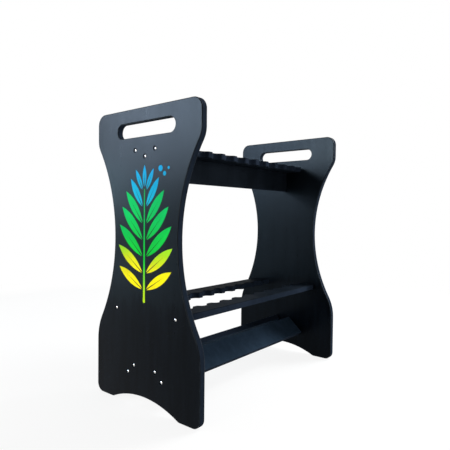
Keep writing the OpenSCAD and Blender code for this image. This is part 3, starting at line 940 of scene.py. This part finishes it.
def makeScrewTree():
    lengths = [label for label in screw if label != "Seed"] + ["Shank Length", "Tilt"]
    inputs = [("Seats", "NodeSocketGeometry")] + [(label, "NodeSocketFloat") for label in lengths]
    inputs += [("Seed", "NodeSocketInt"), ("Finish", "NodeSocketMaterial")]
    tree, calc, given, result = geometryTree("panHeadScrew", inputs)

    def lifted(mesh, height):
        lift = combine(tree, Z=height)
        return addNode(tree, "GeometryNodeTransform", Geometry=mesh, Translation=lift).outputs[0]

    # the head is a ball whose upper half is pressed into a low dome, and its lower half flat
    headRadius = calc("MULTIPLY", given["Head Width"], 0.5)
    ball = addNode(tree, "GeometryNodeMeshUVSphere", Segments=screwMesh["headSides"],
                   Rings=screwMesh["headRings"], Radius=headRadius)
    place = partsOf(tree, tree.nodes.new("GeometryNodeInputPosition").outputs[0])
    share = calc("DIVIDE", calc("MAXIMUM", place["Z"], 0), headRadius)
    dome = calc("MULTIPLY", given["Head Height"], calc("POWER", share, screwMesh["domePower"]))
    domed = combine(tree, X=place["X"], Y=place["Y"], Z=dome)
    marked = addNode(tree, "GeometryNodeStoreNamedAttribute", {"data_type": "FLOAT", "domain": "POINT"},
                     Geometry=ball.outputs["Mesh"], Name="rise", Value=share)
    head = addNode(tree, "GeometryNodeSetPosition", Geometry=marked.outputs[0], Position=domed)
    blades = tree.nodes.new("GeometryNodeJoinGeometry")
    for long, short in (("Recess Length", "Recess Width"), ("Recess Width", "Recess Length")):
        size = combine(tree, X=given[long], Y=given[short], Z=calc("MULTIPLY", given["Recess Depth"], 2))
        blade = addNode(tree, "GeometryNodeMeshCube", Size=size)
        wire(tree, lifted(blade.outputs["Mesh"], given["Head Height"]), blades.inputs[0])
    sunk = addNode(tree, "GeometryNodeMeshBoolean", {"operation": "DIFFERENCE", "solver": "EXACT"},
                   Self_Intersection=True, Mesh_1=head.outputs[0], Mesh_2=blades.outputs[0])

    # the shank and its point, each let a little way into the one above it
    shankRadius = calc("MULTIPLY", given["Shank Width"], 0.5)
    straight = calc("SUBTRACT", given["Shank Length"], given["Point Length"])
    shank = addNode(tree, "GeometryNodeMeshCylinder", Vertices=screwMesh["shankSides"],
                    Radius=shankRadius, Depth=calc("ADD", straight, given["Let In"]))
    point = addNode(tree, "GeometryNodeMeshCone", Vertices=screwMesh["shankSides"],
                    Radius_Top=calc("MULTIPLY", shankRadius, screwMesh["pointTop"]),
                    Radius_Bottom=calc("MULTIPLY", shankRadius, screwMesh["pointTip"]),
                    Depth=calc("ADD", given["Point Length"], given["Let In"]))
    shankHeight = calc("MULTIPLY", calc("SUBTRACT", given["Let In"], straight), 0.5)
    pointHeight = calc("MULTIPLY", given["Shank Length"], -1)
    whole = tree.nodes.new("GeometryNodeJoinGeometry")
    for part in (sunk.outputs["Mesh"], lifted(shank.outputs["Mesh"], shankHeight),
                 lifted(point.outputs["Mesh"], pointHeight)):
        wire(tree, part, whole.inputs[0])

    # one on each seat, tilted to face out of its board and turned as it happened to stop
    placed = addNode(tree, "GeometryNodeInstanceOnPoints", Points=given["Seats"], Instance=whole.outputs[0],
                     Rotation=combine(tree, Y=given["Tilt"]))
    chance = addNode(tree, "FunctionNodeRandomValue", {"data_type": "FLOAT"}, Seed=given["Seed"])
    chance.inputs[3].default_value = math.pi         # the most that a head is turned
    spun = addNode(tree, "GeometryNodeRotateInstances", Instances=placed.outputs[0],
                   Rotation=combine(tree, Z=chance.outputs[1]), Local_Space=True)
    real = addNode(tree, "GeometryNodeRealizeInstances", Geometry=spun.outputs[0])
    dressed = addNode(tree, "GeometryNodeSetMaterial", Geometry=real.outputs[0], Material=given["Finish"])
    wire(tree, dressed.outputs[0], result)
    return tree


screwTree = makeScrewTree()


def screwSeats(node, axis):
    # the middle of the underside of each head, found from the node's own separate solids
    apart = 0.012            # points nearer than this, seen along the screws, are of one screw
    groups = []
    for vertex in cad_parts[node].data.vertices:
        flat = [vertex.co[k] for k in range(3) if k != axis]
        for group in groups:
            if math.dist(flat, group["at"]) < apart:
                group["points"].append(flat)
                break
        else:
            groups.append({"at": flat, "points": [flat]})
    return [[(min(column) + max(column)) / 2 for column in zip(*group["points"])] for group in groups]


def makeScrews(node, axis, outward):
    # axis is the one along the screws, and outward the way that their heads face on it
    low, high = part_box(node)
    headTop = high[axis] if outward > 0 else low[axis]
    seatLevel = headTop - outward * screw["Head Height"]
    seats = bpy.data.meshes.new(node + "Seats")
    spots = screwSeats(node, axis)
    for spot in spots:
        spot.insert(axis, seatLevel)
    seats.from_pydata(spots, [], [])
    tilt = 0.0 if axis == 2 else outward * math.pi / 2
    length = high[axis] - low[axis] - screw["Head Height"]
    mesh = growMesh(node, screwTree, {**screw, "Shank Length": length, "Tilt": tilt, "Finish": screwSteel},
                    seats)
    mesh.shade_smooth()
    mesh.set_sharp_from_angle(angle=math.radians(screwMesh["sharpAngle"]))
    finishPiece(node + "_steel", mesh, node, screwSteel)


for screwNode in sorted(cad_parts):
    if screwNode == "shelf_to_spine_screws":
        makeScrews(screwNode, 2, 1)
    elif "screw" in screwNode:
        makeScrews(screwNode, 0, -1 if screwNode.startswith("left") else 1)
print("screws made")


# Floor, world and lamps

studio = {
    "floorRadius": 7.0,
    "floorSides": 96,
    "floorColour": (0.90, 0.90, 0.90, 1),
    "floorRoughness": 0.9,
    "floorSpecular": 0.1,
    "floorFade": (0.6, 2.2),     # distances from the middle between which the floor turns white
    "floorLift": 0.88,       # how far the floor is lifted to white where it is seen or mirrored
    "worldLight": 0.25,      # strength of the light that the white world gives
}


def seenOrMirrored(tree):
    # 1 for what the camera sees, straight or in metal and gloss, and 0 for light that falls on things
    rays = tree.nodes.new("ShaderNodeLightPath").outputs
    calc = calculator(tree)
    mirrored = calc("MAXIMUM", rays["Is Glossy Ray"], rays["Is Transmission Ray"])
    return calc("MAXIMUM", rays["Is Camera Ray"], mirrored)


def makeFloor():
    shape = bmesh.new()
    bmesh.ops.create_circle(shape, cap_ends=True, segments=studio["floorSides"],
                            radius=studio["floorRadius"])
    mesh = bpy.data.meshes.new("floor")
    shape.to_mesh(mesh)
    shape.free()
    floor = addObject("floor", mesh)
    material, tree, calc, shader, vector = newMaterial("floorPaint")
    feed(tree, shader, Base_Color=studio["floorColour"], Roughness=studio["floorRoughness"],
         Specular_IOR_Level=studio["floorSpecular"])
    away = addNode(tree, "ShaderNodeVectorMath", {"operation": "LENGTH"})
    wire(tree, vector, away.inputs[0])
    fade = fadeBetween(tree, away.outputs["Value"], *studio["floorFade"])
    lift = calc("MULTIPLY", seenOrMirrored(tree), calc("MAXIMUM", fade, studio["floorLift"]))
    white = addNode(tree, "ShaderNodeEmission", Strength=1.0)
    blend = tree.nodes.new("ShaderNodeMixShader")
    for socket, value in zip(blend.inputs, (lift, shader.outputs[0], white.outputs[0])):
        wire(tree, value, socket)
    feed(tree, tree.nodes["Material Output"], Surface=blend.outputs[0])
    mesh.materials.append(material)


def makeWorld():
    world = bpy.data.worlds.new("studioWorld")
    bpy.context.scene.world = world
    world.use_nodes = True
    tree = world.node_tree
    calc = calculator(tree)
    lift = calc("MULTIPLY", seenOrMirrored(tree), 1 - studio["worldLight"])
    strength = calc("ADD", studio["worldLight"], lift)
    feed(tree, tree.nodes["Background"], Color=(1, 1, 1, 1), Strength=strength)


wall = {
    # a wall of light beside the near panel; across and height place each lamp on it
    "middle": (-2.074, 1.539),
    "across": (0.669, 0.743),
    "foot": (-0.365, 0.0),
}


def onWall(across, height):
    side = Vector((*wall["across"], 0)) * across + Vector((0, 0, height))
    return Vector((*wall["middle"], 0)) + side, Vector((*wall["foot"], 0)) + side


lamps = {
    # name: (place and aim, width, height, power in watts, colour, lights matt surfaces too)
    "highSoftbox": (((0.2, -0.3, 2.8), (0.0, 0.0, 0.3)), 1.8, 1.8, 10.0, (1.0, 1.0, 1.0), True),
    "upperWall": (onWall(-0.12, 1.425), 1.40, 0.45, 73.0, (0.68, 0.81, 1.0), False),
    "middleWall": (onWall(0.225, 1.025), 0.75, 0.35, 18.0, (0.66, 0.80, 1.0), True),
    "lowerWall": (onWall(0.65, 0.70), 0.40, 0.40, 10.0, (0.52, 0.82, 1.0), True),
    "lowWall": (onWall(0.35, 0.11), 0.50, 0.18, 2.7, (0.50, 0.80, 1.0), True),
    "farWall": (onWall(-0.775, 1.20), 0.65, 0.30, 59.0, (0.92, 1.00, 1.0), False),
    "rightSoftbox": (((1.89, -0.84, 2.04), (0.0, 0.0, 0.3)), 1.0, 1.0, 80.0, (0.95, 0.98, 1.0), True),
    "sideSoftbox": (((2.3, -1.65, 0.95), (0.0, 0.0, 0.45)), 1.0, 0.6, 42.0, (0.95, 0.98, 1.0), True),
    "rearSoftbox": (((2.30, 1.90, 1.00), (0.0, 0.0, 0.3)), 3.0, 1.2, 16.0, (0.95, 0.98, 1.0), True),
    "fillSoftbox": (((-2.9, 0.05, 0.60), (-0.365, 0.0, 0.42)), 0.9, 0.9, 35.0, (1.0, 0.85, 0.65), True),
}


def makeLamps():
    for name, ((place, target), width, height, power, colour, litMatt) in lamps.items():
        lamp = bpy.data.lights.new(name, "AREA")
        lamp.shape = "RECTANGLE"
        lamp.size, lamp.size_y = width, height
        lamp.energy = power
        lamp.color = colour
        holder = addObject(name, lamp)
        aim = Vector(target) - Vector(place)
        holder.matrix_world = Matrix.Translation(place) @ aim.to_track_quat("-Z", "Y").to_matrix().to_4x4()
        holder.visible_camera = False
        holder.visible_diffuse = litMatt


makeFloor()
makeWorld()
makeLamps()
bpy.context.scene.view_settings.view_transform = "Standard"
print("studio made")
